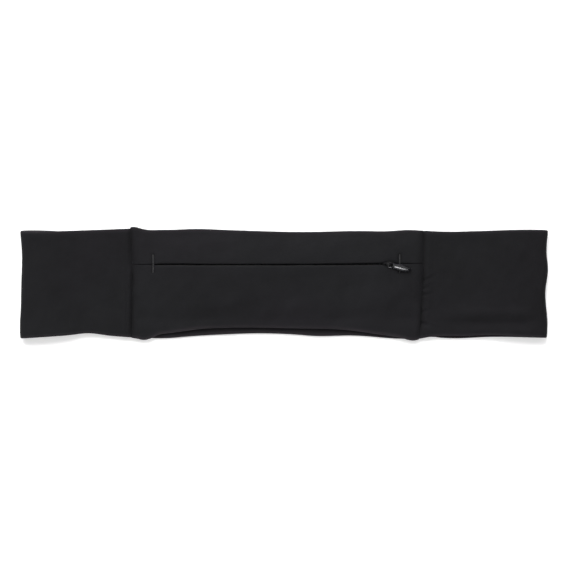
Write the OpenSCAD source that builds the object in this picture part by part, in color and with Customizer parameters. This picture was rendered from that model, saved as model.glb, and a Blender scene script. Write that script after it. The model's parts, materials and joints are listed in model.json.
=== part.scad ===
// Stretch money belt lying flat on its back. It is a closed waist loop of double fabric,
// and its front is a pocket with a concealed zip in the seam between two panels.
// X runs along the belt, Y across it towards the top edge, and Z up from the surface it
// lies on. The origin is under the middle of the belt.

/* [Loop] */
// Length of the belt laid flat, from fold to fold
belt_len = 437; // [420:1:460]
// Height of the band from its bottom edge to its top edge
band_h = 89; // [86:0.5:94]
// Rise of the band's bottom edge in the middle of the back
band_waist = 3.6; // [0:0.2:5]
// Clear height inside the loop at the two folds
fold_gap = 4.8; // [4.6:0.1:6]
// Clear height inside the loop behind the pocket
loop_gap = 0.5; // [0.4:0.1:0.8]
// Length over which the loop closes down from a fold
fold_reach = 64; // [50:1:75]
// Length next to a fold over which the clear height stays whole
fold_hold = 16; // [12:1:20]

/* [Fabric] */
// Thickness of one layer of knit
knit_t = 0.7; // [0.6:0.05:0.8]
// Thickness of the elastic in the edges
elastic_t = 0.6; // [0.5:0.05:0.7]
// Width of the elastic in the edges
elastic_w = 6; // [4:0.5:8]

/* [Front pocket] */
// Width of the front between its side seams
front_w = 240.5; // [236:0.5:245]
// Distance of the front's middle from the belt's middle
front_x = -5.2; // [-8:0.1:0]
// Height of the front's corners above and below the belt's middle
front_corner = 46.2; // [45:0.1:47]
// Dip of the front's top edge between the side seams
top_dip = 2.7; // [0:0.1:3]
// Rise of the front's bottom edge between the side seams
bottom_rise = 9.8; // [4:0.1:10]
// Width of a side seam's turned-in allowance
seam_w = 6; // [4:0.5:7]

/* [Zip] */
// Height of the zip's centre line above the middle of the belt
zip_y = 16.2; // [12:0.1:18]
// Distance between the two bar tacks that end the opening
opening_w = 203.6; // [195:0.2:206]
// Distance of the opening's middle from the belt's middle
opening_x = -5.8; // [-7:0.1:-4]
// Clear slit between the folded lips of the two panels
slit = 1.4; // [1.3:0.1:1.6]
// Width of one zip tape
tape_w = 12; // [11:0.2:12.4]
// Spacing of the teeth on one tape
tooth_pitch = 1.6; // [1.4:0.1:2]
// Length of a bar tack across the opening
tack_len = 15.4; // [12:0.2:17]

/* [Slider] */
// Length of the slider's two plates
slider_len = 10; // [9:0.1:10.5]
// Width of the slider's two plates
slider_w = 6.2; // [6.2:0.1:6.6]
// Length of the crown that holds the puller
crown_len = 7; // [6.8:0.1:7.4]
// Length of the puller from its pivot to its tip
puller_len = 19; // [16:0.5:20]
// Greatest width of the puller
puller_w = 5; // [4.6:0.1:5.4]
// Angle that the puller hangs below the zip line
puller_yaw = 12.5; // [0:0.5:13]

/* [Hidden] */

knit_colour = "#242426";
lining_colour = "#2a2728";
elastic_colour = "#1b1b1c";
tape_colour = "#18181a";
thread_colour = "#5a5a5e";
enamel_colour = "#101012";
puller_colour = "#3c3c40";

play = 0.02; // air between layers that lie on each other
edge_inset = 0.5; // distance of the elastic from the fabric's edge
sewn_gap = 0.08; // half the groove where the two panels are sewn together
run_t = 2 * knit_t + elastic_t; // thickness of one run of the band
outer_low = knit_t + elastic_t; // depth of the outer fabric behind the loop's inside face
fold_r = fold_gap / 2;
fold_x = belt_len / 2 - run_t - fold_r; // centre of each fold
steps = 28;
seam_reach = 36; // end of a side seam's allowance above and below the belt's middle

seam_left = front_x - front_w / 2;
seam_right = front_x + front_w / 2;
lining_z = run_t + loop_gap;
cavity_z = lining_z + knit_t; // floor of the pocket
edge_z = cavity_z + elastic_t; // underside of the panels over the edge elastic

// Stack of the zip, counted up from the floor of the pocket.
plate_low_z = cavity_z + 0.3;
plate_t = 0.6;
teeth_z = plate_low_z + plate_t + 0.2;
teeth_t = 1.4;
tape_z = teeth_z + teeth_t;
tape_t = 0.4;
plate_high_z = tape_z + tape_t + 0.15;
lip_z = plate_high_z + plate_t + 0.2; // underside of the lips
lip_top = lip_z + knit_t;
tape_top = tape_z + tape_t + play; // underside of the panels over the tapes
tack_rise = 0.11; // height of a bar tack above the lips

// Section of the panels, as distances from the zip line and places along Y.
rise_from = 4;
rise_len = 4;
half_tape_gap = 0.8;
tape_edge = half_tape_gap + tape_w + 0.4;
foot_top = 36.5;
foot_bottom = -29;

// Places along the zip.
tack_left = opening_x - opening_w / 2;
tack_right = opening_x + opening_w / 2;
tack_w = 1.4;
tack_y = 0.6; // middle of a bar tack above the zip line
tape_left = tack_left - 10;
tape_right = tack_right + 9;
slider_front = tack_right - 4.4;
slider_rear = slider_front - slider_len;
post_x = slider_front - 3.3;
post_len = 2.4;
half_post = 0.45;
teeth_left = tack_left + 1.8;
teeth_right = post_x - 1.2;

// Crown and puller. The pivot is the puller's cross bar, inside the crown's window.
crown_x = slider_rear + slider_len / 2 + 0.1;
crown_foot = plate_high_z + plate_t + play;
crown_rise = 3.6;
crown_t = 0.9;
half_leg = 0.4;
half_bar = 0.6;
pivot = [crown_x, zip_y - 0.5, lip_top + 0.9];
eye_bar = 0.4;
eye_len = 3.6;
eye_half = 1.8;
eye_rim = 0.7;
puller_t = 1;
rim_w = 1.2; // width of the leaf's raised rim
recess = 0.3;

function clamp(v, low, high) = min(max(v, low), high);
function ease(v) = (1 - cos(180 * clamp(v, 0, 1))) / 2;
function between(a, b, n) = [for (i = [0:n]) a + (b - a) * i / n];

// Clear height inside the loop, and the band's and the front's edges, along X.
function gap_at(x) =
    let (share = (abs(x) - fold_x + fold_reach) / (fold_reach - fold_hold))
    loop_gap + (fold_gap - loop_gap) * ease(share);
function band_bottom_at(x) = -band_h / 2 + band_waist * exp(-pow((x + 20) / 70, 2));
function front_top_at(x) = front_corner - top_dip * (1 - pow((x - 15) / (seam_left - 15), 2));
function front_bottom_at(x) =
    let (share = x < 0 ? (-60 - x) / 50 : (x - 60) / 55)
    -front_corner + bottom_rise * (1 - ease(share));

// Underside of the outer panels, along Y. They stand over the slider's plate at the slit,
// come down on the tape beside it, and fall to the edge elastic.
function panel_low_at(y) =
    let (away = abs(y - zip_y))
    let (foot = y > zip_y ? foot_top - zip_y : zip_y - foot_bottom)
    let (slope = (away - tape_edge) / (foot - tape_edge))
    away < tape_edge
        ? lip_z - (lip_z - tape_top) * ease((away - rise_from) / rise_len)
        : tape_top - (tape_top - edge_z) * ease(slope);

// Side view of the band between two depths behind the loop's inside face.
function band_path(depth) = concat(
    [for (x = between(seam_left, -fold_x, steps)) [x, run_t + gap_at(x) + depth]],
    [for (a = between(90, 270, 16))
        [-fold_x + (fold_r + depth) * cos(a), run_t + fold_r + (fold_r + depth) * sin(a)]],
    [for (a = between(-90, 90, 16))
        [fold_x + (fold_r + depth) * cos(a), run_t + fold_r + (fold_r + depth) * sin(a)]],
    [for (x = between(fold_x, seam_right, steps)) [x, run_t + gap_at(x) + depth]]
);

function reversed(points) = [for (i = [len(points) - 1:-1:0]) points[i]];

module band_layer(inside, outside) {
    translate([0, band_h, 0])
        rotate([90, 0, 0])
        linear_extrude(2 * band_h)
        polygon(concat(band_path(outside), reversed(band_path(inside))));
}

// Level slab whose outline, seen from above, lies between two lines that run along X.
module slab(low_z, height, high_line, low_line) {
    translate([0, 0, low_z])
        linear_extrude(height)
        polygon(concat(high_line, reversed(low_line)));
}

function shifted(line, dy) = [for (p = line) p + [0, dy]];

band_spread = between(-belt_len / 2 - 1, belt_len / 2 + 1, 48);
band_top_line = [for (x = band_spread) [x, band_h / 2]];
band_bottom_line = [for (x = band_spread) [x, band_bottom_at(x)]];
front_spread = between(seam_left, seam_right, 36);
front_top_line = [for (x = front_spread) [x, front_top_at(x)]];
front_bottom_line = [for (x = front_spread) [x, front_bottom_at(x)]];

// Edge of a panel along the zip. Past the bar tacks the two panels are sewn edge to edge.
function lip_line(side) =
    let (open = zip_y + side * slit / 2)
    let (sewn = zip_y + side * sewn_gap)
    [
        [seam_left, sewn], [tack_left, sewn], [tack_left, open],
        [tack_right, open], [tack_right, sewn], [seam_right, sewn]
    ];

// Extrudes a section, drawn as Y across and Z up, along X.
module along_belt(from, to) {
    translate([from, 0, 0])
        rotate([90, 0, 90])
        linear_extrude(to - from)
        children();
}

module tack_bar(x, grow) {
    size = [tack_w + 2 * grow, tack_len + 2 * grow, lip_top + tack_rise - tape_top];
    translate([x - size[0] / 2, zip_y + tack_y - size[1] / 2, tape_top])
        cube(size);
}

module panel(from, to, high_line, low_line) {
    spread = between(from, to, 40);
    low = [for (y = spread) [y, panel_low_at(y)]];
    high = [for (p = low) p + [0, knit_t]];
    difference() {
        intersection() {
            along_belt(seam_left, seam_right) polygon(concat(high, reversed(low)));
            slab(0, 20, high_line, low_line);
        }
        tack_bar(tack_left, play);
        tack_bar(tack_right, play);
    }
}

module band_outer() {
    color(knit_colour)
        intersection() {
            band_layer(outer_low, run_t);
            slab(-1, 20, band_top_line, band_bottom_line);
        }
}

module band_inner() {
    color(lining_colour)
        intersection() {
            band_layer(0, knit_t);
            slab(-1, 20, band_top_line, band_bottom_line);
        }
}

// Elastic inside one edge of the band, all the way round the loop.
module band_elastic(edge_line, inwards) {
    near = shifted(edge_line, inwards * edge_inset);
    far = shifted(edge_line, inwards * (edge_inset + elastic_w));
    color(elastic_colour)
        intersection() {
            band_layer(knit_t + play, outer_low - play);
            slab(-1, 20, inwards > 0 ? far : near, inwards > 0 ? near : far);
        }
}

module front_upper_panel() {
    color(knit_colour) panel(zip_y, front_corner + 1, front_top_line, lip_line(1));
}

module front_lower_panel() {
    color(knit_colour) panel(-front_corner - 1, zip_y, lip_line(-1), front_bottom_line);
}

module pocket_lining() {
    color(lining_colour) slab(lining_z, knit_t, front_top_line, front_bottom_line);
}

// Elastic between the lining and the panel, inside one edge of the front.
module front_elastic(edge_line, inwards) {
    near = shifted(edge_line, inwards * edge_inset);
    far = shifted(edge_line, inwards * (edge_inset + elastic_w));
    color(elastic_colour)
        slab(
            cavity_z + play, elastic_t - 2 * play,
            inwards > 0 ? far : near, inwards > 0 ? near : far
        );
}

// Layers of the front and the band turned inwards and overlocked together. They close the
// end of the pocket between its lining and its panels.
module side_seam(from) {
    spread = between(-seam_reach, seam_reach, 36);
    high = [for (y = spread) [y, panel_low_at(y) - play]];
    low = [for (y = spread) [y, cavity_z + play]];
    color(lining_colour)
        along_belt(from, from + seam_w) polygon(concat(high, reversed(low)));
}

module zip_tape(side) {
    middle = zip_y + side * (half_tape_gap + tape_w / 2);
    color(tape_colour)
        translate([tape_left, middle - tape_w / 2, tape_z])
        cube([tape_right - tape_left, tape_w, tape_t]);
}

// Row of teeth on a spine. The two rows mesh along the zip's centre line.
module zip_teeth(side) {
    tooth_w = 0.6;
    reach = 0.6;
    spine_near = 1;
    spine_far = 2.1;
    count = floor((teeth_right - teeth_left) / tooth_pitch) - 1;
    start = teeth_left + (side > 0 ? 0 : tooth_pitch / 2);
    end = start + count * tooth_pitch + tooth_w;
    tooth = [[0, spine_near], [0, -reach], [tooth_w, -reach], [tooth_w, spine_near]];
    teeth = [for (i = [0:count], corner = tooth) corner + [start + i * tooth_pitch, 0]];
    row = concat([[start, spine_far]], teeth, [[end, spine_far]]);
    color(tape_colour)
        translate([0, zip_y, teeth_z])
        linear_extrude(teeth_t - play)
        polygon([for (p = row) [p[0], side * p[1]]]);
}

// Small block clamped on the tapes at an end of the teeth.
module stop(x, y, size) {
    translate([x, y - size[1] / 2, teeth_z])
        cube([size[0], size[1], teeth_t - play]);
}

module zip_top_stops() {
    stop_y = 1.75;
    color(enamel_colour)
        for (side = [-1, 1])
            stop(slider_front + 1.2, zip_y + side * stop_y, [1.6, 1.8]);
}

module zip_bottom_stop() {
    size = [1.9, 4.2];
    color(enamel_colour) stop(teeth_left - size[0] - 0.3, zip_y, size);
}

// Lockstitches that hold a panel's turned-in edge to its tape, seen under the tape.
module zip_stitches(side) {
    stitch = 2.6;
    pitch = 3.4;
    thread = 0.3;
    row_y = zip_y + side * 10 - thread / 2;
    end_gap = 2;
    color(thread_colour)
        for (x = [tape_left + end_gap:pitch:tape_right - end_gap - stitch])
            translate([x, row_y, tape_z - thread - play])
                cube([stitch, thread, thread]);
}

module bar_tack(x) {
    color(thread_colour) tack_bar(x, 0);
}

// Outline of the slider's plates, with a round rear and a blunt front.
module slider_outline() {
    half = slider_w / 2;
    nose = 1.2;
    rear = [for (a = between(90, 270, 12))
        [slider_rear + half + half * cos(a), (half - 0.3) * sin(a)]];
    front = [
        [slider_front - nose, -half], [slider_front, -half + nose],
        [slider_front, half - nose], [slider_front - nose, half]
    ];
    translate([0, zip_y]) polygon(concat(rear, front));
}

// Two plates with a post between them that parts the teeth, and flanges on the lower plate
// that hold the teeth in line and stop below the tapes.
module slider_body() {
    flange_t = 0.55;
    flange_y = slider_w / 2 - 0.6;
    flange_from = slider_rear + 2.6;
    flange_len = slider_len - 4.2;
    inside_low = plate_low_z + plate_t / 2;
    color(enamel_colour) {
        translate([0, 0, plate_low_z]) linear_extrude(plate_t) slider_outline();
        translate([0, 0, plate_high_z]) linear_extrude(plate_t) slider_outline();
        for (y = [zip_y - flange_y - flange_t, zip_y + flange_y])
            translate([flange_from, y, inside_low])
                cube([flange_len, flange_t, tape_z - 0.2 - inside_low]);
        translate([post_x, zip_y - half_post, inside_low])
            cube([post_len, 2 * half_post, plate_high_z - plate_low_z]);
    }
}

// Slice of the crown's arch, between two heights.
module crown_slice(half_width, low, high) {
    arc = between(0, 180, 24);
    outer = [crown_len / 2, crown_rise];
    inner = [crown_len / 2 - 1.1, crown_rise - crown_t];
    arch = concat(
        [for (a = arc) [outer[0] * cos(a), outer[1] * sin(a)]],
        [for (a = reversed(arc)) [inner[0] * cos(a), inner[1] * sin(a)]]
    );
    intersection() {
        translate([crown_x, zip_y + half_width, crown_foot])
            rotate([90, 0, 0])
            linear_extrude(2 * half_width)
            polygon(arch);
        translate([crown_x - crown_len, zip_y - slider_w, low])
            cube([2 * crown_len, 2 * slider_w, high - low]);
    }
}

// Arched crown. Its thin legs pass through the slit, and its bar lies above the lips.
module slider_crown() {
    neck_top = lip_top + 0.25;
    color(enamel_colour) {
        crown_slice(half_leg, crown_foot, neck_top);
        crown_slice(half_bar, neck_top, crown_foot + crown_rise + 1);
    }
}

// Half width of the puller's leaf at a share of its length, from the eye to the tip. It
// widens from a neck to its belly and ends in a round tip.
function leaf_half(share) =
    let (neck = 1.6)
    let (full = puller_w / 2)
    let (belly = 0.5)
    share < belly
        ? neck + (full - neck) * ease(share / belly)
        : full * sqrt(max(0, 1 - pow((share - belly) / (1 - belly), 2.2)));

module leaf(inset) {
    spread = between(0, 1, 28);
    leaf_len = puller_len - eye_len - 2 * inset;
    shape = [for (s = spread)
        [eye_len + inset + leaf_len * s, max(leaf_half(s) - inset, 0.05)]];
    polygon(concat(shape, reversed([for (p = shape) [p[0], -p[1]]])));
}

// Cross bar and rim of the eye that holds the crown, and the teardrop leaf.
module zip_puller() {
    side = eye_half + eye_rim;
    color(puller_colour)
        translate(pivot)
        rotate([0, 0, -puller_yaw]) {
            rotate([90, 0, 0])
                translate([0, 0, -side])
                cylinder(r = eye_bar, h = 2 * side, $fn = 24);
            for (y = [-side, eye_half])
                translate([0, y, -eye_bar])
                    cube([eye_len + eye_rim, eye_rim, 2 * eye_bar]);
            translate([eye_len, -side, -eye_bar])
                cube([eye_rim, 2 * side, 2 * eye_bar]);
            difference() {
                translate([0, 0, -puller_t / 2]) linear_extrude(puller_t) leaf(0);
                translate([0, 0, puller_t / 2 - recess]) linear_extrude(1) leaf(rim_w);
            }
        }
}

band_outer();
band_inner();
front_upper_panel();
front_lower_panel();
pocket_lining();
band_elastic(band_top_line, -1);  // band_top_elastic
band_elastic(band_bottom_line, 1);  // band_bottom_elastic
front_elastic(front_top_line, -1);  // front_top_elastic
front_elastic(front_bottom_line, 1);  // front_bottom_elastic
side_seam(seam_left + 0.1);  // left_side_seam
side_seam(seam_right - seam_w - 0.1);  // right_side_seam
zip_tape(1);  // zip_tape_upper
zip_tape(-1);  // zip_tape_lower
zip_teeth(1);  // zip_teeth_upper
zip_teeth(-1);  // zip_teeth_lower
zip_top_stops();
zip_bottom_stop();
zip_stitches(1);  // upper_zip_stitches
zip_stitches(-1);  // lower_zip_stitches
bar_tack(tack_left);  // left_bar_tack
bar_tack(tack_right);  // right_bar_tack
slider_body();
slider_crown();
zip_puller();
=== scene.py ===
import json
import math

import bmesh
import bpy
import numpy as np
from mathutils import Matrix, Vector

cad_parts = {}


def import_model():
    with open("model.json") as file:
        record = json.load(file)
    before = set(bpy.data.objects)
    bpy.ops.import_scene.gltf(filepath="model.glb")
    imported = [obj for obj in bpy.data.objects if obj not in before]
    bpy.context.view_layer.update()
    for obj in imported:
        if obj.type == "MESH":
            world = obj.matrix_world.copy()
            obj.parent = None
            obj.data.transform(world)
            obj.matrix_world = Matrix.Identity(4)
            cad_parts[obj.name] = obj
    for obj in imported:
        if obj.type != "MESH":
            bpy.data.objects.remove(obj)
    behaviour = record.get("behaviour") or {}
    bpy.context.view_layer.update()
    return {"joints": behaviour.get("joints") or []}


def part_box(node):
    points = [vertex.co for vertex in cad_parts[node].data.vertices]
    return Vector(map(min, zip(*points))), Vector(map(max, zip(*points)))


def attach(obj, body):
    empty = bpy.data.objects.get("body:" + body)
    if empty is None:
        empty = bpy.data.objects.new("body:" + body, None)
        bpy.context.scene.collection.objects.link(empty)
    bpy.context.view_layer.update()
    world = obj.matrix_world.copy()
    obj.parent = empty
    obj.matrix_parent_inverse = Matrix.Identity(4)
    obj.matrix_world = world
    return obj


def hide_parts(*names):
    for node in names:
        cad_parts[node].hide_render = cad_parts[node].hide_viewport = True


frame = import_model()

MM = 0.001
PI = math.pi


# ---------------------------------------- sizes from the frame

def box_mm(node):
    """Lowest and highest corner of a CAD node, in millimetres."""
    return np.array(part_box(node)) / MM


BAND_HIGH = box_mm("band_outer")[1]
INNER_LOW = box_mm("band_inner")[0]
LINING_LOW, LINING_HIGH = box_mm("pocket_lining")
TAPE_HIGH = box_mm("zip_tape_upper")[1]
TEETH_LOW, TEETH_HIGH = box_mm("zip_teeth_upper")
SLIDER_LOW, SLIDER_HIGH = box_mm("slider_body")
CROWN_LOW, CROWN_HIGH = box_mm("slider_crown")
TACK_LEFT, TACK_RIGHT = (sum(box_mm(n)) / 2 for n in ("left_bar_tack", "right_bar_tack"))

END_X = BAND_HIGH[0]  # from the belt's middle to the fold at each end
SEAM_LEFT, SEAM_RIGHT = LINING_LOW[0], LINING_HIGH[0]
ZIP_Y = (SLIDER_LOW[1] + SLIDER_HIGH[1]) / 2
BULGE_X = SLIDER_LOW[0] + 5  # where the slider holds the lips furthest apart
LAYER = 0.7  # thickness of one CAD layer of the band
RUN = INNER_LOW[2] + LAYER  # thickness of the band, with both layers
FOLD_R = (BAND_HIGH[2] - 2 * RUN) / 2  # inside radius of the folds at the ends
FOLD_X = END_X - RUN - FOLD_R  # where those folds start
LOOP_GAP = LINING_LOW[2] - RUN  # clear height inside the loop behind the pocket

KNIT = 0.6  # thickness of a single layer of knit
FOLDED = 0.44  # thickness of the knit where it is folded and pressed
ELASTIC = 0.5  # thickness of the elastic
RIM_HIGHLIGHT_REACH = 1.8  # how far the painted highlight reaches in from a folded edge


# ---------------------------------------- curves and soft shapes

def ease(t):
    t = np.clip(t, 0, 1)
    return t * t * (3 - 2 * t)


def bell(x, at, width):
    return np.exp(-((x - at) / width) ** 2)


def through(*points):
    """Smooth curve through a few points, as a function of arrays."""
    xs, ys = np.array(points, float).T
    slopes = np.gradient(ys, xs)

    def at(x):
        i = np.clip(np.searchsorted(xs, x) - 1, 0, len(xs) - 2)
        h = xs[i + 1] - xs[i]
        t = np.clip((x - xs[i]) / h, 0, 1)
        low = (1 + 2 * t) * (1 - t) ** 2 * ys[i] + t * (1 - t) ** 2 * h * slopes[i]
        return low + t * t * (3 - 2 * t) * ys[i + 1] + t * t * (t - 1) * h * slopes[i + 1]

    return at


def spread(low, high, step, finest, *places):
    """Numbers from low to high, a step apart, and closer together near the places."""
    out = [low]
    while out[-1] < high:
        near = min([abs(out[-1] - p) for p in places], default=1e9)
        out.append(out[-1] + finest + (step - finest) * min(1, near / (6 * step)))
    out = np.array(out)
    return low + (out - low) * (high - low) / (out[-1] - low)


def waves(x, y, seed, size):
    """Slow, uneven rise and fall of cloth, mostly between -1 and 1, with hills about size
    apart."""
    rng = np.random.default_rng(seed)
    trains, tallest = 7, 4
    total = 0
    for _ in range(trains):
        turn = rng.uniform(0, 2 * PI)
        pitch = 2 * PI / (size * rng.uniform(0.7, 1.6))
        phase = rng.uniform(0, 2 * PI)
        total = total + np.sin(pitch * (x * math.cos(turn) + y * math.sin(turn)) + phase)
    return total / tallest


def crease(x, y, start, end, width):
    """1 along a short line from start to end, falling to 0 beside it and at its ends."""
    along = np.array(end, float) - start
    length = math.hypot(*along)
    along = along / length
    s = (x - start[0]) * along[0] + (y - start[1]) * along[1]
    off = (x - start[0]) * -along[1] + (y - start[1]) * along[0]
    grow = ease((s + 1) / (0.25 * length)) * ease((length - s) / (0.75 * length))
    return np.exp(-((off / width) ** 2)) * grow


# ---------------------------------------- outlines of the belt

FLAP_TOP_LEFT = through((-219, 43.4), (-190, 43.5), (-162, 44.4), (-126, 45.8))
FLAP_TOP_RIGHT = through((113, 44.1), (136, 43.2), (161, 43.7), (201, 44.8), (219, 44.5))
FLAP_LOW_LEFT = through((-219, -45.3), (-193, -43.7), (-177, -42.5), (-162, -40.9),
                        (-143, -43), (-125, -44.4))
FLAP_LOW_RIGHT = through((112, -45.8), (122, -43.8), (150, -43), (172, -42.2), (204, -43.8),
                         (219, -44.7))
FRONT_TOP = through((-128, 45.5), (-124, 47.1), (-120.5, 46.9), (-116, 45.5), (-97, 44.8),
                    (-72, 45.5), (-40, 44.4), (14, 43), (64, 43.8), (84, 43.6), (106, 44.6),
                    (116, 44))
FRONT_LOW = through((-128, -44.4), (-121, -45.4), (-115, -46.5), (-110, -45.3), (-104, -42.4),
                    (-92, -40.5), (-80, -38.8), (-68, -37.3), (-47, -36.4), (10, -36.9),
                    (56, -38.6), (74, -41.2), (94, -44), (106, -46.8), (111, -46.9), (117, -45.4))
BACK_TOP = through((-219, 44.3), (-200, 44.3), (-176, 43), (0, 41.8), (180, 43), (219, 44.3))
BACK_LOW = through((-219, -45.2), (-190, -42.8), (-162, -40), (-130, -43.5), (-100, -45.1),
                   (-72, -43.1), (-47, -41.8), (-20, -41), (10, -42), (24, -43.1), (60, -42.9),
                   (96, -45.4), (112, -45.5), (123, -43.9), (131, -44.7), (175, -43.9),
                   (219, -44.8))

# How far the folds and the side seams stand off straight lines, up the band.
FOLD_WAVER_LEFT = through((-46, 1.2), (-37, 0.7), (-20, 1.4), (3, 1.9), (22, 2.4), (46, 0.9))
FOLD_WAVER_RIGHT = through((-46, -0.9), (-33, -0.2), (-7, -1.9), (12, 0.2), (26, -0.9), (46, 0.3))
SEAM_WAVER_LEFT = through((-46, 0), (-15, 0.5), (13, 0.9), (30, 0), (46, -1.2))
SEAM_WAVER_RIGHT = through((-46, -2.9), (-30, -1.6), (-14, -0.7), (7, 0.5), (46, 0.9))
SLIT_WAVER = through((-108, -0.3), (-88, -0.3), (-66, -0.55), (0, -0.6), (40, -0.4),
                     (68, 0.1), (80, 0.3), (96, 0.35))


def settle(points, front=True):
    """Moves points of the cloth along X as the folds waver and, on the front, as the side
    seams do."""
    x, y = points[..., 0], points[..., 1]
    fold_reach, seam_reach = 26, 15
    shift = FOLD_WAVER_LEFT(y) * ease((-END_X + fold_reach - x) / fold_reach)
    shift = shift + FOLD_WAVER_RIGHT(y) * ease((x - END_X + fold_reach) / fold_reach)
    if front:
        shift = shift + SEAM_WAVER_LEFT(y) * ease(1 - abs(x - SEAM_LEFT) / seam_reach)
        shift = shift + SEAM_WAVER_RIGHT(y) * ease(1 - abs(x - SEAM_RIGHT) / seam_reach)
    out = points.copy()
    out[..., 0] += shift
    return out


# ---------------------------------------- meshes

LOOKS = {}  # the material of each slot, which main fills in


def piece(name, shapes, body, slot, *nodes):
    """One object from closed shapes, each a set of points, faces, places in the cloth and
    each point's painted shading value. It rides on a body and stands for the CAD nodes."""
    first = 0
    faces = []
    for points, shape_faces, _, _ in shapes:
        faces += [[first + i for i in face] for face in shape_faces]
        first += len(points)
    mesh = bpy.data.meshes.new(name)
    mesh.from_pydata((np.concatenate([s[0] for s in shapes]) * MM).tolist(), [], faces)
    layer = mesh.uv_layers.new(name="cloth")
    index = np.empty(len(mesh.loops), int)
    mesh.loops.foreach_get("vertex_index", index)
    layer.data.foreach_set("uv", np.concatenate([s[2] for s in shapes])[index].ravel())
    # Each point's painted shading: above 0 paints a highlight, below 0 paints shade.
    painted_shading = mesh.attributes.new("painted_shading", "FLOAT", "POINT")
    painted_shading.data.foreach_set("value", np.concatenate([s[3] for s in shapes]))
    bm = bmesh.new()
    bm.from_mesh(mesh)
    bmesh.ops.recalc_face_normals(bm, faces=bm.faces)
    bm.to_mesh(mesh)
    bm.free()
    mesh.shade_smooth()
    mesh.materials.append(LOOKS[slot])
    obj = bpy.data.objects.new(name, mesh)
    bpy.context.scene.collection.objects.link(obj)
    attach(obj, body)
    if nodes:
        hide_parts(*nodes)
    return obj


def grid_of(x, y, z):
    """Grid of points, from coordinates that change along one way of it, both or neither."""
    return np.stack(np.broadcast_arrays(x, y, z), 2)


def lengths(mid):
    """Distance along both ways of a grid of points, in metres, for the weave."""
    along = np.linalg.norm(np.diff(mid, axis=0), axis=2).mean(axis=1)
    across = np.linalg.norm(np.diff(mid, axis=1), axis=2).mean(axis=0)
    u = np.concatenate([[0], np.cumsum(along)])
    v = np.concatenate([[0], np.cumsum(across)])
    return np.stack(np.meshgrid(u, v, indexing="ij"), axis=2) * MM


def sheet(mid, thick, painted_shading=0.0):
    """Closed sheet of cloth about a grid of points, with rounded rims. Its painted shading is
    above 0 where the cloth is painted paler as a highlight, and below 0 where it is painted darker
    as shade."""
    nu, nv = mid.shape[:2]
    painted_shading = np.broadcast_to(painted_shading, (nu, nv))
    half = np.broadcast_to(np.asarray(thick, float) / 2, (nu, nv))
    normal = np.cross(np.gradient(mid, axis=0), np.gradient(mid, axis=1))
    normal /= np.linalg.norm(normal, axis=2, keepdims=True)
    front = mid + normal * half[..., None]
    back = mid - normal * half[..., None]

    rim = [(i, 0) for i in range(nu)] + [(nu - 1, j) for j in range(1, nv)]
    rim += [(i, nv - 1) for i in range(nu - 2, -1, -1)] + [(0, j) for j in range(nv - 2, 0, -1)]
    rim_points = []
    bulge = 0.8  # how far the rim stands out, in half thicknesses
    for i, j in rim:
        inner = (min(max(i, 1), nu - 2), min(max(j, 1), nv - 2))
        out = mid[i, j] - mid[inner]
        out /= np.linalg.norm(out)
        rim_points.append(mid[i, j] + out * half[i, j] * bulge)

    count = nu * nv
    at = np.arange(count).reshape(nu, nv)
    quads = np.stack([at[:-1, :-1], at[1:, :-1], at[1:, 1:], at[:-1, 1:]], 2).reshape(-1, 4)
    faces = quads.tolist() + (quads[:, ::-1] + count).tolist()
    for k in range(len(rim)):
        n = (k + 1) % len(rim)
        f0, f1 = int(at[rim[k]]), int(at[rim[n]])
        r0, r1 = 2 * count + k, 2 * count + n
        faces.append([f0, r0, r1, f1])
        faces.append([r0, f0 + count, f1 + count, r1])

    uv = lengths(mid)
    rim_uv = np.array([uv[i, j] for i, j in rim])
    rim_wear = np.array([painted_shading[i, j] for i, j in rim])
    points = np.concatenate([front.reshape(-1, 3), back.reshape(-1, 3), rim_points])
    places = np.concatenate([uv.reshape(-1, 2)] * 2 + [rim_uv])
    return points, faces, places, np.concatenate([painted_shading.ravel()] * 2 + [rim_wear])


def loft(rings):
    """Closed solid through rings of the same number of points."""
    rings = np.asarray(rings, float)
    count, sides = rings.shape[:2]
    faces = [list(range(sides))[::-1], list(range((count - 1) * sides, count * sides))]
    for k in range(count - 1):
        for s in range(sides):
            n = (s + 1) % sides
            low, high = k * sides, (k + 1) * sides
            faces.append([low + s, low + n, high + n, high + s])
    centres = rings.mean(axis=1)
    run = np.concatenate([[0], np.cumsum(np.linalg.norm(np.diff(centres, axis=0), axis=1))])
    girth = np.linalg.norm(rings - np.roll(rings, 1, axis=1), axis=2).sum(axis=1).max()
    u, v = np.meshgrid(run, np.arange(sides) / sides * girth, indexing="ij")
    places = np.stack([u, v], 2).reshape(-1, 2) * MM
    return rings.reshape(-1, 3), faces, places, np.zeros(count * sides)


def tube(path, radius, sides=8):
    """Round thread or wire along a path of points, narrower at its two ends."""
    path = np.asarray(path, float)
    ahead = np.gradient(path, axis=0)
    ahead /= np.linalg.norm(ahead, axis=1, keepdims=True)
    turns = np.arange(sides) * 2 * PI / sides
    over = np.array([0.013, 0.021, 1.0])  # near upright, and no path's own direction
    end_share = 0.55
    rings = []
    for k, (point, forward) in enumerate(zip(path, ahead)):
        side = np.cross(over, forward)
        side /= np.linalg.norm(side)
        over = np.cross(forward, side)
        size = radius * (end_share if k in (0, len(path) - 1) else 1)
        rings.append([point + size * (side * math.cos(t) + over * math.sin(t)) for t in turns])
    return loft(rings)


def with_painted_shading(shape, painted_shading):
    """The same shape with a painted shading value for each of its points."""
    points, faces, places, _ = shape
    return points, faces, places, painted_shading


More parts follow.
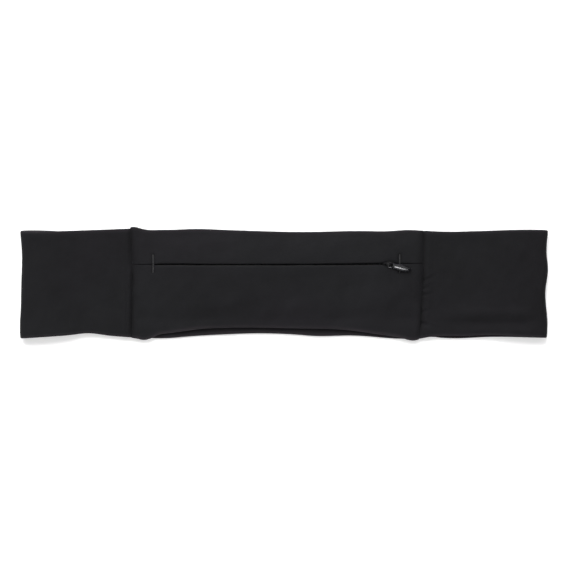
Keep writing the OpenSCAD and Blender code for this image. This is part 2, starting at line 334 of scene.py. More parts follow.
def slab(outline, low, high, edge):
    """Flat plate between two heights, with an outline and rounded edges."""
    outline = np.asarray(outline, float)
    edge_rings = 8
    ahead = np.roll(outline, -1, axis=0) - np.roll(outline, 1, axis=0)
    ahead /= np.linalg.norm(ahead, axis=1, keepdims=True)
    outward = np.stack([ahead[:, 1], -ahead[:, 0]], 1)
    rings = []
    for turn in np.linspace(-PI / 2, PI / 2, edge_rings):
        z = (low + edge if turn < 0 else high - edge) + edge * math.sin(turn)
        ring = outline - outward * edge * (1 - math.cos(turn))
        rings.append(np.column_stack([ring, np.full(len(ring), z)]))
    return loft(rings)


# ---------------------------------------- the band

def fold_gap(x):
    """Clear height inside the loop at a place along the belt."""
    shut, full = 64, 16  # how far from a fold it starts to open, and is fully open
    share = (abs(x) - FOLD_X + shut) / (shut - full)
    return LOOP_GAP + (2 * FOLD_R - LOOP_GAP) * ease(share)


def flap_lift(x, y):
    """Rise and fall of the flaps on the front, above their level."""
    level, start, soft = 0.2, 100, 40
    hills = 0.36 * waves(x, y, 11, 34) + 0.2 * waves(x, y, 8, 14)
    out = (level + hills) * ease((abs(x) - start) / soft) + 0.04 * waves(x, y, 13, 5)
    # A long hollow along the lower edge of the right flap, and one beside its seam.
    hollow_y, hollow_half = -32, 4
    dip = bell(y, hollow_y, hollow_half)
    banks = 1.1 * bell(y, hollow_y + 7.5, 4.5) + 0.5 * bell(y, hollow_y - 8, 3)
    out = out - (dip - banks) * ease((x - 124) / 34) * ease((212 - x) / 12)
    out = out - 1.2 * bell(x, SEAM_RIGHT + 2, 4.5) * dip
    # Ridge that the turned-in seam makes beside the left seam, gathered by its stitches.
    from_seam = SEAM_LEFT - x
    low = ease((16 - y) / 8)
    pucker = 0.6 + 0.35 * np.sin(y * 1.9 + 0.8 * np.sin(y * 0.7))
    out = out + low * pucker * bell(from_seam, 2.5, 1.1)
    out = out - low * 0.5 * bell(from_seam, 4.7, 0.9)
    out = out - (1 - low) * 0.5 * bell(from_seam, 1, 3.5)
    # Short creases that run out from the right seam, each with a ridge above it.
    half, above = 1.3, 2.2
    for start, end, deep in (
        ((114, 2), (129, 9), 0.7),
        ((114, -5), (124, 0), 0.6),
        ((114, -9), (125, -8), 0.9),
        ((113, -24), (125, -20), 0.6),
        ((112, -31), (128, -36), 0.8),
    ):
        out = out - deep * crease(x, y, start, end, half)
        out = out + 0.7 * deep * crease(x, y - above, start, end, half - 0.1)
    return out


SEAM_GAP = 0.12  # from a side seam's line to the cloth on each side of it
BAND_SHADE = 0.24  # how much darker the band is painted than the front, more towards the right end


def seam_painted_shade(distance, y):
    """Painted shade in a side seam, darker in some places along it than in others."""
    reach = 2
    darker = 0.55 + 0.25 * np.sin(0.21 * y + 1.2 * np.sin(0.13 * y))
    return -darker * np.exp(-((distance / reach) ** 2))


def seam_drop(distance):
    """Share of the way that cloth turns down into a seam: soft shoulders, then a crevice."""
    d = distance - SEAM_GAP
    shoulder, crack = 3.2, 0.8
    crevice = 1 - np.sqrt(1 - (1 - np.clip(d / crack, 0, 1)) ** 2)
    return 0.52 * (1 - ease(d / shoulder)) + 0.35 * crevice


def loop_stations():
    """Stations round the loop, from seam to seam: x and z on the inside face, the x and z of
    the outward direction, and how far each is on the back run, from 0 to 1."""
    left, right = SEAM_LEFT - SEAM_GAP, SEAM_RIGHT + SEAM_GAP
    step, finest = 1.5, 0.25
    flap_left = -spread(-left, FOLD_X, step, finest, -left)
    flap_right = spread(right, FOLD_X, step, finest, right)[::-1]
    arc = np.linspace(0, PI, 25)[1:-1]
    back = np.linspace(-FOLD_X, FOLD_X, 170)
    mid_z = RUN + FOLD_R
    sin, cos = np.sin(arc), np.cos(arc)
    runs = (
        (flap_left, RUN + fold_gap(flap_left), 0, 1, 0),
        (-FOLD_X - FOLD_R * sin, mid_z + FOLD_R * cos, -sin, cos, (1 - cos) / 2),
        (back, RUN, 0, -1, 1),
        (FOLD_X + FOLD_R * sin, mid_z - FOLD_R * cos, sin, -cos, (1 + cos) / 2),
        (flap_right, RUN + fold_gap(flap_right), 0, 1, 0),
    )
    return np.concatenate([np.stack(np.broadcast_arrays(*run)) for run in runs], axis=1)


def loop_edges(x, side):
    """Top and bottom edge of the band at each station."""
    top = np.where(x < 0, FLAP_TOP_LEFT(x), FLAP_TOP_RIGHT(x))
    low = np.where(x < 0, FLAP_LOW_LEFT(x), FLAP_LOW_RIGHT(x))
    return top + (BACK_TOP(x) - top) * side, low + (BACK_LOW(x) - low) * side


def band_layer(section):
    """Grid of one layer round the loop, and its painted shading. section(top, low) gives each
    station's y and its depth out from the inside face, as two arrays across the band."""
    x, z, nx, nz, side = (part[:, None] for part in loop_stations())
    top, low = loop_edges(x, side)
    y, depth = np.broadcast_arrays(*section(top, low))
    on_flap = side < 0.01
    from_edge = np.minimum(top - y, y - low)
    from_seam = np.where(x < 0, SEAM_LEFT - x, x - SEAM_RIGHT)

    # The cloth swells beside its edges and its seams, and only the outer layer turns down.
    lift = flap_lift(x, y) * ease(1 - 4 * side) * ease((END_X - abs(x)) / 14)
    lift = lift + 0.18 * bell(from_edge, 4, 3)
    lift = lift + 0.35 * bell(from_seam, 5, 2.6) * on_flap
    turned = np.where(on_flap, 1.6 * seam_drop(from_seam), 0)
    out = depth + lift - turned * ease((depth - 0.9) / 0.5)
    grid = grid_of(x + nx * out, y, z + nz * out)
    straight = settle(grid, front=False)
    grid = straight + (settle(grid) - straight) * (side < 0.5)[..., None]

    # Painted highlight along both edges of the band; paler paint on the inside hems, lifting the
    # shadow that the front casts on the back run; the band painted darker than the front; painted
    # shade in the flaps' side seams.
    painted_shading = 1.35 * np.exp(-((from_edge / RIM_HIGHLIGHT_REACH) ** 2)) + 0.5 * (depth < 0.5)
    painted_shading = painted_shading - BAND_SHADE * (1 + 0.3 * x / END_X) + seam_painted_shade(from_seam, y) * on_flap
    return grid, painted_shading


# How far the middle of the outer layer and of its hem lie out from the inside face.
OUTER_DEPTH = RUN - KNIT / 2
HEM_DEPTH = FOLDED / 2


def outer_section(top, low):
    """The outer layer wraps both edges of the band and ends in a hem on the inside."""
    hem = 8.5
    radius = (OUTER_DEPTH - HEM_DEPTH) / 2
    centre = (OUTER_DEPTH + HEM_DEPTH) / 2
    outset = radius + KNIT / 2
    turn = np.linspace(0, PI, 9)[None, :]
    inside = np.linspace(hem, outset, 6)[None, :-1]
    face = np.linspace(0, 1, 74)[None, 1:-1]
    runs = (
        (top - inside, HEM_DEPTH),
        (top - outset + radius * np.sin(turn), centre - radius * np.cos(turn)),
        (top - outset + (low - top + 2 * outset) * face, OUTER_DEPTH),
        (low + outset - radius * np.sin(turn), centre + radius * np.cos(turn)),
        (low + inside[:, ::-1], HEM_DEPTH),
    )
    y, depth = zip(*(np.broadcast_arrays(*run) for run in runs))
    return np.concatenate(y, 1), np.concatenate(depth, 1)


def inner_section(top, low):
    """The inner layer lies between the hems, and its edges are tucked under them."""
    share = np.concatenate([np.linspace(0, 0.05, 6), np.linspace(0.07, 0.93, 44),
                            np.linspace(0.95, 1, 6)])[None, :]
    inset = 7.2
    tucked, middle = 0.95, 0.3  # depths under the hems and between them
    y = top - inset + (low - top + 2 * inset) * share
    from_edge = np.minimum(top - y, y - low)
    return y, tucked + (middle - tucked) * ease((from_edge - 8.2) / 1.8)


def elastic_section(edge):
    """Elastic between the two layers, just inside one edge of the band."""
    between = 0.92

    def section(top, low):
        across = np.linspace(1.5, 7, 8)[None, :]
        y = top - across if edge > 0 else low + across
        return y, between + 0 * across

    return section


def make_band():
    grid, painted_shading = band_layer(outer_section)
    outer = piece("band_outer_fabric", [sheet(grid, KNIT, painted_shading)], "belt", "knit", "band_outer")
    grid, _ = band_layer(inner_section)
    inner = piece("band_inner_fabric", [sheet(grid[6:-6], FOLDED)], "belt", "lining",
                  "band_inner")
    for edge, where in ((1, "top"), (-1, "bottom")):
        grid, _ = band_layer(elastic_section(edge))
        piece(f"band_{where}_elastic_web", [sheet(grid[8:-8], ELASTIC)], "belt", "elastic",
              f"band_{where}_elastic")


# ---------------------------------------- the front

# Height of the upper and the lower panel at a distance from the lip.
ROOF_UP = through((0, 7.15), (0.6, 7.38), (1.8, 7.52), (4, 7.42), (12, 6.75), (18, 5.95),
                  (23, 4.85), (27, 4.35), (32, 4.2))
ROOF_DOWN = through((0, 7.3), (0.6, 7.45), (1.8, 7.52), (4, 7.42), (14, 6.75), (27, 6.1),
                    (35, 5.4), (40, 4.5), (44, 4.05), (48, 4.4), (51.5, 4.8), (56, 4.6), (64, 4.4))
HEM_Z = LINING_LOW[2] - FOLDED / 2 - 0.03


def slit_half(x):
    """Half the gap between the lips: closed past the tacks, and wide round the slider."""
    closed, past_tack = 0.2, 0.6
    open_by = ease((x - TACK_LEFT[0] - past_tack) / 5) * ease((TACK_RIGHT[0] - past_tack - x) / 4)
    wide = 1.0 + 0.06 * np.sin(x * 0.21) + 1.1 * bell(x, BULGE_X, 4.6)
    return closed + (wide - closed) * open_by


def slit_y(x):
    return ZIP_Y + SLIT_WAVER(x)


def front_drop(x):
    """Share of its height that the front loses towards the side seams."""
    share = 0 * x
    for seam, inward in ((SEAM_LEFT, 1), (SEAM_RIGHT, -1)):
        d = (x - seam) * inward
        share = share + 0.62 * (1 - ease(d / 7)) + 0.28 * (1 - ease(d / 24))
    return share


def roof(x, y, away, profile):
    """Height of the middle of the outer cloth of the front, away from the lip."""
    base = 4.15
    z = base + (profile(away) - base) * (1 - front_drop(x))
    # Each bar tack pulls in a groove, a narrower one within it and a broad dip.
    half_tack = 7
    for tack in (TACK_LEFT, TACK_RIGHT):
        past = np.maximum(abs(y - tack[1]) - half_tack, 0)
        for deep, wide, end in ((0.4, 2.6, 2.2), (0.45, 1.15, 0.9)):
            z = z - deep * np.exp(-(((x - tack[0]) / wide) ** 2) - (past / end) ** 2)
        z = z - 0.25 * bell(x, tack[0], 9) * bell(y, tack[1], 9)
    # The hills fade towards the slit, where the zip holds the cloth level.
    free = 0.55 + 0.45 * ease((away - 8) / 10)
    return z + free * (0.36 * waves(x, y, 5, 30) + 0.24 * waves(x, y, 9, 13)
                       + 0.05 * waves(x, y, 12, 5))


def turn_down(x, z):
    """Heights of the front with it turned down into the side seams."""
    bottom = 2.9
    for seam, inward in ((SEAM_LEFT, 1), (SEAM_RIGHT, -1)):
        d = (x - seam) * inward
        z = z - seam_drop(d) * np.maximum(z - bottom, 0)
    return z


def front_grid(side):
    """Grid of one front panel, from its turned-in edge on the tape, over the lip, across
    the front, round the outer edge and into its hem under the lining. Also gives the
    cloth's thickness and painted shading."""
    left, right = SEAM_LEFT + SEAM_GAP, SEAM_RIGHT - SEAM_GAP
    step, finest = 1.3, 0.25
    x = spread(left, right, step, finest, left, right, TACK_LEFT[0], TACK_RIGHT[0],
               BULGE_X)[:, None]
    profile = ROOF_UP if side > 0 else ROOF_DOWN
    edge = FRONT_TOP(x) if side > 0 else FRONT_LOW(x)
    lip = slit_y(x) + side * slit_half(x)
    fold = 0.24  # radius of the fold at the lip
    edge_z = 4.2
    edge_r = (edge_z - HEM_Z) / 2
    outset = edge_r + KNIT / 2
    gap = 0.02
    turned_width, hem_width = 11, 8

    # Distances from the lip, and turns round the two folds, for each run of the cloth.
    turned = np.linspace(turned_width, 1, 14)[None, :]
    around = np.linspace(0, PI, 9)[None, 1:-1]
    reach = abs(edge - lip) - outset
    rows = 34 if side > 0 else 58
    share = np.linspace(0, 1, rows)[None, :]
    start = fold + FOLDED / 2
    away = start + (reach - start) * (0.35 * share**2 + 0.65 * share)
    rim = np.linspace(0, PI, 10)[None, 1:]
    hem = np.linspace(outset, hem_width, 6)[None, 1:]

    y_face = lip + side * away
    z_face = roof(x, y_face, away, profile)
    z_lip = z_face[:, :1]
    # The turned-in cloth lies close under the lip, then comes down to the tape.
    under = np.where(turned < 4.5, 2 * fold, 0)
    tape_top = TAPE_HIGH[2] + FOLDED / 2 + gap
    z_turned = tape_top + (z_lip - under - tape_top) * (1 - ease((turned - 3.4) / 3))
    under_face = roof(x, lip + side * turned, turned, profile) - KNIT - 4 * gap
    z_turned = np.minimum(z_turned, under_face)
    y_lip = lip + side * (start - fold * np.sin(around))
    z_fold = z_lip - fold + fold * -np.cos(around)
    y_rim = edge - side * (outset - edge_r * np.sin(rim))
    z_edge = z_face[:, -1:]
    sway = z_edge - edge_z
    z_rim = HEM_Z + edge_r + (edge_r + sway / 2) * np.cos(rim) + sway / 2
    y_hem = edge - side * hem
    z_hem = HEM_Z + 0 * (x + hem)

    y = np.concatenate([lip + side * turned, y_lip, y_face, y_rim, y_hem], 1)
    z = np.concatenate([z_turned, z_fold, z_face, z_rim, z_hem], 1)
    z = turn_down(x, z)

    thick = np.full(y.shape, KNIT)
    lip_cols = turned.shape[1] + around.shape[1]
    thick[:, :lip_cols] = FOLDED
    blend_cols = 8
    thick[:, lip_cols:lip_cols + blend_cols] = np.linspace(FOLDED, KNIT, blend_cols)
    thick[:, -hem.shape[1] - 6:] = np.linspace(KNIT, FOLDED, hem.shape[1] + 6)

    # Painted highlight along each panel's outer edge, strongest on the lower panel's two flanks.
    painted_highlight = 1 + 0.9 * ease((abs(x + 5) - 45) / 30) * (side < 0)
    painted_shading = painted_highlight * np.exp(-(((edge - y) / RIM_HIGHLIGHT_REACH) ** 2))
    # Painted shade in the side seams and in the grooves round each bar tack.
    painted_shading = painted_shading + seam_painted_shade(x - SEAM_LEFT, y) + seam_painted_shade(SEAM_RIGHT - x, y)
    for tack in (TACK_LEFT, TACK_RIGHT):
        painted_shading = painted_shading - 0.9 * bell(x, tack[0], 1.7) * ease((9 - abs(y - tack[1])) / 2)
    return settle(grid_of(x, y, z)), thick, painted_shading


def make_front():
    upper_cut, lower_cut, lining_cut = 48, 79, 84  # heights of the cloth before it is folded
    for side, where, height in ((1, "upper", upper_cut), (-1, "lower", lower_cut)):
        panel = piece(f"front_{where}_fabric", [sheet(*front_grid(side))], "belt", "knit",
                      f"front_{where}_panel")

    x = spread(SEAM_LEFT, SEAM_RIGHT, 3, 1, SEAM_LEFT, SEAM_RIGHT)[:, None]
    share = np.linspace(0, 1, 40)[None, :]
    inset = 1.3
    top, low = FRONT_TOP(x) - inset, FRONT_LOW(x) + inset
    y = top + (low - top) * share
    mid_z = LINING_LOW[2] + FOLDED / 2 + 0.05
    grid = settle(grid_of(x, y, mid_z))
    back = piece("lining_fabric", [sheet(grid, FOLDED)], "belt", "lining", "pocket_lining")

    elastic_z = 3.4
    for edge, side, where in ((FRONT_TOP, 1, "top"), (FRONT_LOW, -1, "bottom")):
        across = np.linspace(1.6, 7, 8)[None, :]
        y = edge(x) - side * across
        grid = settle(grid_of(x, y, elastic_z))[3:-3]
        piece(f"front_{where}_elastic_web", [sheet(grid, ELASTIC)], "belt", "elastic",
              f"front_{where}_elastic")


def roof_at(x, y):
    """Height of the middle of the front's outer cloth."""
    away = abs(y - slit_y(x))
    return np.where(y > slit_y(x), roof(x, y, away, ROOF_UP), roof(x, y, away, ROOF_DOWN))


def make_side_seams():
    """Turned-in layers of the front and the band inside each seam, and their overlock."""
    layers, allowance = 3, 6
    floor_z = 3.3
    pitch, wire = 1.8, 0.12
    for where, inward in (("left", 1), ("right", -1)):
        low, high = box_mm(f"{where}_side_seam")
        seam = low[0] if inward > 0 else high[0]
        d = np.linspace(0.7, 5.8, 9)[:, None]
        y = np.linspace(low[1], high[1], 90)[None, :]
        x = seam + inward * d
        room = turn_down(x, roof_at(x, y)) - KNIT / 2 - 0.1 - floor_z
        room = np.clip(room, 0.12, 1.9)
        strips = []
        for k in range(layers):
            z = floor_z + room * (k + 0.5) / layers + 0.03 * waves(x, y, 20 + k, 9)
            grid = settle(grid_of(x, y, z))
            strips.append(sheet(grid, np.minimum(0.42, 0.8 * room / layers)))
        cloth = piece(f"{where}_seam_layers", strips, "belt", "lining", f"{where}_side_seam")

        turn = np.arange(low[1] + 1, high[1] - 1, pitch / 10)
        phase = (turn - turn[0]) / pitch * 2 * PI
        loop_x = seam + inward * (4.6 + 1.3 * np.cos(phase))
        height = np.interp(turn, y[0], room[-1])
        loop_z = floor_z + height / 2 + (height / 2 + 0.1) * np.sin(phase)
        path = settle(np.stack([loop_x, turn, loop_z], 1))
        piece(f"{where}_seam_overlock", [tube(path, wire, 6)], "belt", "thread")


# ---------------------------------------- the zip

def make_tapes():
    thick = 0.34
    for where in ("upper", "lower"):
        low, high = box_mm(f"zip_tape_{where}")
        x = np.linspace(low[0], high[0], 140)[:, None]
        y = np.linspace(low[1], high[1], 16)[None, :]
        z = (low[2] + high[2]) / 2 + 0.02 * waves(x, y, 31, 12)
        tape = piece(f"{where}_tape_web", [sheet(grid_of(x, y, z), thick)], "belt", "zip_tape",
                     f"zip_tape_{where}")


def make_coils():
    """A wire wound into a flat spiral on each tape. The two spirals mesh half a turn apart."""
    pitch, wire = 1.27, 0.2
    for side, where, late in ((1, "upper", 0), (-1, "lower", 0.5)):
        low, high = box_mm(f"zip_teeth_{where}")
        reach_y = (high[1] - low[1]) / 2 - wire
        reach_z = (high[2] - low[2]) / 2 - wire - 0.03
        centre_y, centre_z = (low[1] + high[1]) / 2, (low[2] + high[2]) / 2
        turns = int((TEETH_HIGH[0] - TEETH_LOW[0]) / pitch) - 1
        turn = np.linspace(0, turns, turns * 12 + 1)
        x = TEETH_LOW[0] + wire + (turn + late) * pitch
        y = centre_y - side * reach_y * np.cos(2 * PI * turn)
        z = centre_z + reach_z * np.sin(2 * PI * turn)
        piece(f"{where}_coil", [tube(np.stack([x, y, z], 1), wire, 7)], "belt", "zip_coil",
              f"zip_teeth_{where}")


def crimp(low, high, wall):
    """Metal clip bent round the end of a coil, open towards the tape."""
    square = 0.55  # below 1, and the arch is squarer than round
    turn = np.linspace(0, PI, 13)
    half_y = (high[1] - low[1] - wall) / 2
    half_z = high[2] - low[2] - wall * 0.75
    centre_y = (low[1] + high[1]) / 2
    arch_y = centre_y + half_y * np.sign(np.cos(turn)) * abs(np.cos(turn)) ** square
    arch_z = high[2] - wall / 4 - half_z * abs(np.sin(turn)) ** square
    x = np.linspace(low[0] + wall / 3, high[0] - wall / 3, 5)[:, None]
    return sheet(grid_of(x, arch_y, arch_z), wall)


def make_stops():
    low, high = box_mm("zip_top_stops")
    width, top_wall, bottom_wall = 1.8, 0.4, 0.45
    clips = [crimp((low[0], y, low[2]), (high[0], y + width, high[2]), top_wall)
             for y in (low[1], high[1] - width)]
    piece("top_stop_clips", clips, "belt", "dark_enamel", "zip_top_stops")
    low, high = box_mm("zip_bottom_stop")
    piece("bottom_stop_clip", [crimp(low, high, bottom_wall)], "belt", "dark_enamel",
          "zip_bottom_stop")


def make_tape_stitches():
    """Lockstitches under each tape. Every stitch dips into the cloth at both ends."""
    stitch, pitch, radius = 2.8, 3.4, 0.14
    share = np.array([0, 0.06, 0.2, 0.5, 0.8, 0.94, 1])
    sag = np.array([0.3, 0.12, 0, -0.02, 0, 0.12, 0.3])
    for where in ("upper", "lower"):
        low, high = box_mm(f"{where}_zip_stitches")
        y = (low[1] + high[1]) / 2
        shapes = []
        for x in np.arange(low[0], high[0] - stitch, pitch):
            path = np.stack([x + share * stitch, y + 0.05 * np.sin(x + 2 * share),
                             low[2] + radius + sag], 1)
            shapes.append(tube(path, radius, 6))
        piece(f"{where}_lockstitches", shapes, "belt", "thread", f"{where}_zip_stitches")


def make_bar_tacks():
    """Dense zigzag over the slit, lying on the cloth that it pulls down."""
    step, radius, reach = 0.3, 0.17, 0.56
    for where in ("left", "right"):
        low, high = box_mm(f"{where}_bar_tack")
        x = (low[0] + high[0]) / 2
        rows = np.arange(low[1] + step, high[1] - step, step)
        path = []
        for k, y in enumerate(rows):
            side = 1 if k % 2 else -1
            z = float(roof_at(np.array(x), np.array(y))) + KNIT / 2
            for share, rise in ((-1, 0.05), (-0.6, 0.2), (0, 0.26), (0.6, 0.2), (1, 0.05)):
                path.append((x + side * share * reach, y + share * step * 0.35, z + rise))
        piece(f"{where}_tack_zigzag", [tube(path, radius, 6)], "belt", "thread",
              f"{where}_bar_tack")


# ---------------------------------------- the slider and the puller

def round_rectangle(x0, y0, x1, y1, corner, steps):
    """Outline with round corners, from the one at x1, y0 through the one at x1, y1."""
    centres = ((x1 - corner, y0 + corner), (x1 - corner, y1 - corner),
               (x0 + corner, y1 - corner), (x0 + corner, y0 + corner))
    return [(x + corner * math.cos(a), y + corner * math.sin(a))
            for k, (x, y) in enumerate(centres)
            for a in np.linspace((k - 1) * PI / 2, k * PI / 2, steps)]


def slider_outline():
    """Round at the rear, where the teeth leave meshed, and blunt at the front."""
    half = (SLIDER_HIGH[1] - SLIDER_LOW[1]) / 2
    rear, front = SLIDER_LOW[0], SLIDER_HIGH[0]
    turns = np.linspace(PI / 2, 3 * PI / 2, 17)
    nose, waist, steps = 1.2, 0.3, 6
    points = [(rear + half + half * math.cos(a), (half - waist) * math.sin(a)) for a in turns]
    points += round_rectangle(rear, -half, front, half, nose, steps)[:2 * steps]
    return np.array(points) + (0, ZIP_Y)


def rounded_box(low, high, edge):
    """Upright block with round corners and softened rims."""
    outline = round_rectangle(*low[:2], *high[:2], edge, 5)
    return slab(outline, low[2], high[2], edge * 0.6)


def make_slider():
    plate, flange, flange_top = 0.6, 0.55, 5.5
    low_z, high_z = SLIDER_LOW[2], SLIDER_HIGH[2]
    outline = slider_outline()
    half = (SLIDER_HIGH[1] - SLIDER_LOW[1]) / 2
    front = SLIDER_HIGH[0]
    shapes = [slab(outline, low_z, low_z + plate, 0.2), slab(outline, high_z - plate, high_z, 0.26)]
    inside = low_z + plate / 2
    for y in (ZIP_Y - half + 0.05, ZIP_Y + half - 0.05 - flange):
        corner = (SLIDER_LOW[0] + 2.6, y, inside)
        shapes.append(rounded_box(corner, (front - 1.6, y + flange, flange_top), 0.15))
    post = ((front - 3.3, ZIP_Y - 0.45, inside), (front - 0.9, ZIP_Y + 0.45, high_z - plate / 2))
    shapes.append(rounded_box(*post, 0.3))
    piece("slider_shell", shapes, "slider", "dark_enamel", "slider_body")

    # The crown is an arch over the slider: thin legs in the slit and a wider bar above it.
    centre_x = (CROWN_LOW[0] + CROWN_HIGH[0]) / 2
    foot = CROWN_LOW[2]
    out_x, out_z = (CROWN_HIGH[0] - CROWN_LOW[0]) / 2, CROWN_HIGH[2] - foot
    leg, bar = 1.1, 0.9
    in_x, in_z = out_x - leg, out_z - bar
    half_leg, half_bar = 0.4, (CROWN_HIGH[1] - CROWN_LOW[1]) / 2
    ring = np.linspace(0, 2 * PI, 16, endpoint=False)
    round_a, round_b = np.cos(ring), np.sin(ring)
    rings = []
    for a in np.linspace(0, PI, 33):
        outer = np.array([out_x * math.cos(a), out_z * math.sin(a)])
        inner = np.array([in_x * math.cos(a), in_z * math.sin(a)])
        mid, reach = (outer + inner) / 2, (outer - inner) / 2
        half_y = half_leg + (half_bar - half_leg) * ease((outer[1] - 0.9) / 0.7)
        x = centre_x + mid[0] + reach[0] * round_a
        z = foot + mid[1] + reach[1] * round_a
        rings.append(np.column_stack([x, ZIP_Y + half_y * round_b, np.maximum(z, foot)]))
    piece("slider_arch", [loft(rings)], "slider", "dark_enamel", "slider_crown")


def make_puller():
    """Teardrop leaf with a dished face, and an eye of wire round the crown's window."""
    joint = next(j for j in frame["joints"] if j["name"] == "puller_flip")
    pivot = np.array(joint["pos_m"]) / MM
    axis = np.array(joint["axis"])
    ahead = np.array([-axis[1], axis[0], 0])
    left = np.array([-axis[0], -axis[1], 0])

    def world(points):
        points = np.asarray(points, float)
        return (pivot + points[..., :1] * ahead + points[..., 1:2] * left
                + points[..., 2:] * np.array([0, 0, 1]))

    # The eye starts and ends inside the leaf's neck and goes round four corners.
    eye_side, eye_end, corner, steps = 1.7, 4.0, 0.9, 7
    wire, sides = 0.34, 12
    around = round_rectangle(0, -eye_side, eye_end, eye_side, corner, steps)
    path = [(eye_end, 0), *around[steps:], *around[:steps], (eye_end, -0.1)]
    # The plating is dark, with paler plating along the eye's lower side near the crown as a painted
    # highlight, which puts its glint there.
    painted_highlight = [0.9 if u < 2.4 and v < -0.4 else 0 for u, v in path]
    path = world([(u, v, 0) for u, v in path])
    eye = with_painted_shading(tube(path, wire, sides), np.repeat(painted_highlight, sides) - 1)

    base, tip = 3.3, 19  # where the leaf starts and ends, from the pivot
    neck, full, belly = 1.9, 2.5, 0.45  # half widths, and the share where it is widest
    half_z, deep = 0.5, 0.17  # half thickness, and depth of the dish in its face
    bow, high = 0.12, 0.3  # fall of the face to its tip, and the share where it is highest

    def half_width(s):
        if s < belly:
            wide = neck + (full - neck) * ease(s / belly)
        else:
            wide = full * math.sqrt(max(0, 1 - ((s - belly) / (1 - belly)) ** 2.2))
        return max(wide * math.sqrt(min(1, s / 0.035 + 0.02)), 0.03)

    corners = 64
    turn = np.linspace(0, 2 * PI, corners, endpoint=False)
    across = np.sign(np.cos(turn)) * abs(np.cos(turn)) ** 0.75
    up = np.sign(np.sin(turn)) * abs(np.sin(turn)) ** 0.35
    rings, rims = [], []
    for s in 0.5 - 0.5 * np.cos(np.linspace(0, PI, 41)):
        wide = half_width(s)
        round_off = half_z * min(1, math.sqrt(wide / 0.6))
        dish = deep * ease((s - 0.03) / 0.1) * ease((0.97 - s) / 0.12)
        hollow = dish * np.clip(1 - (across / 0.8) ** 2, 0, 1)
        fall = bow * ((s - high) / (1 - high)) ** 2
        z = round_off * up - np.where(up > 0, hollow + fall, 0)
        along = np.full(corners, base + (tip - base) * s)
        rings.append(np.column_stack([along, across * wide, z]))
        # Paler plating down the middle of the face, fading towards the tip, is a painted highlight;
        # the rims stay dark as painted shade.
        highlight_mask = ease((0.78 - abs(across)) / 0.3) * ease((s - 0.02) / 0.05) * ease((1 - s) / 0.5)
        rims.append(np.where(up > 0, highlight_mask, 0) - 1)
    leaf = with_painted_shading(loft(world(rings)), np.concatenate(rims))
    piece("puller_leaf", [eye, leaf], "puller", "gunmetal", "zip_puller")


# ---------------------------------------- materials

class Nodes:
    """Short way to write the nodes of a material, or of the world."""

    def __init__(self, name, kind="materials", shader="Principled BSDF"):
        self.owner = getattr(bpy.data, kind).new(name)
        self.owner.use_nodes = True
        self.tree = self.owner.node_tree
        self.shader = self.tree.nodes[shader]

    def add(self, kind, values=None, **settings):
        node = self.tree.nodes.new(f"ShaderNode{kind}")
        for key, value in settings.items():
            setattr(node, key, value)
        for key, value in (values or {}).items():
            self.put(node.inputs[key], value)
        return node

    def put(self, socket, value):
        if isinstance(value, bpy.types.NodeSocket):
            self.tree.links.new(value, socket)
        else:
            socket.default_value = value

    def set(self, name, value):
        self.put(self.shader.inputs[name], value)

    def math(self, operation, a, b=0.0, c=0.0):
        return self.add("Math", {0: a, 1: b, 2: c}, operation=operation).outputs[0]

    def total(self, *parts):
        """Sum of values, each times its weight."""
        out = 0.0
        for value, weight in parts:
            out = self.math("MULTIPLY_ADD", value, weight, out)
        return out

    def cloth(self):
        """Place in the cloth, in metres along and across it."""
        uv = self.add("UVMap", uv_map="cloth").outputs[0]
        split = self.add("SeparateXYZ", {0: uv})
        return split.outputs[0], split.outputs[1]

    def place(self):
        return self.add("TexCoord").outputs["Object"]

    def painted_shading(self):
        return self.add("Attribute", attribute_name="painted_shading").outputs["Fac"]

    def noise(self, scale, detail=2.0, rough=0.5, where=None):
        values = {"Scale": scale, "Detail": detail, "Roughness": rough,
                  "Vector": where or self.place()}
        return self.add("TexNoise", values).outputs[0]

    def ridge(self, coordinate, pitch, phase=0.0):
        """Round ridges a pitch apart, from 0 to 1."""
        turns = self.math("MULTIPLY_ADD", coordinate, 2 * PI / (pitch * MM), phase)
        return self.math("MULTIPLY_ADD", self.math("SINE", turns), 0.5, 0.5)

    def mix(self, factor, a, b):
        a, b = ((*c, 1) if isinstance(c, tuple) else c for c in (a, b))
        return self.add("Mix", {0: factor, 6: a, 7: b}, data_type="RGBA").outputs[2]

    def map_range(self, value, low, high, to_low, to_high):
        values = {0: value, 1: low, 2: high, 3: to_low, 4: to_high}
        return self.add("MapRange", values).outputs[0]

    def bump(self, height, distance, strength=1.0, under=None):
        values = {"Height": height, "Distance": distance * MM, "Strength": strength}
        node = self.add("Bump", values)
        if under is not None:
            self.put(node.inputs["Normal"], under)
        return node.outputs[0]


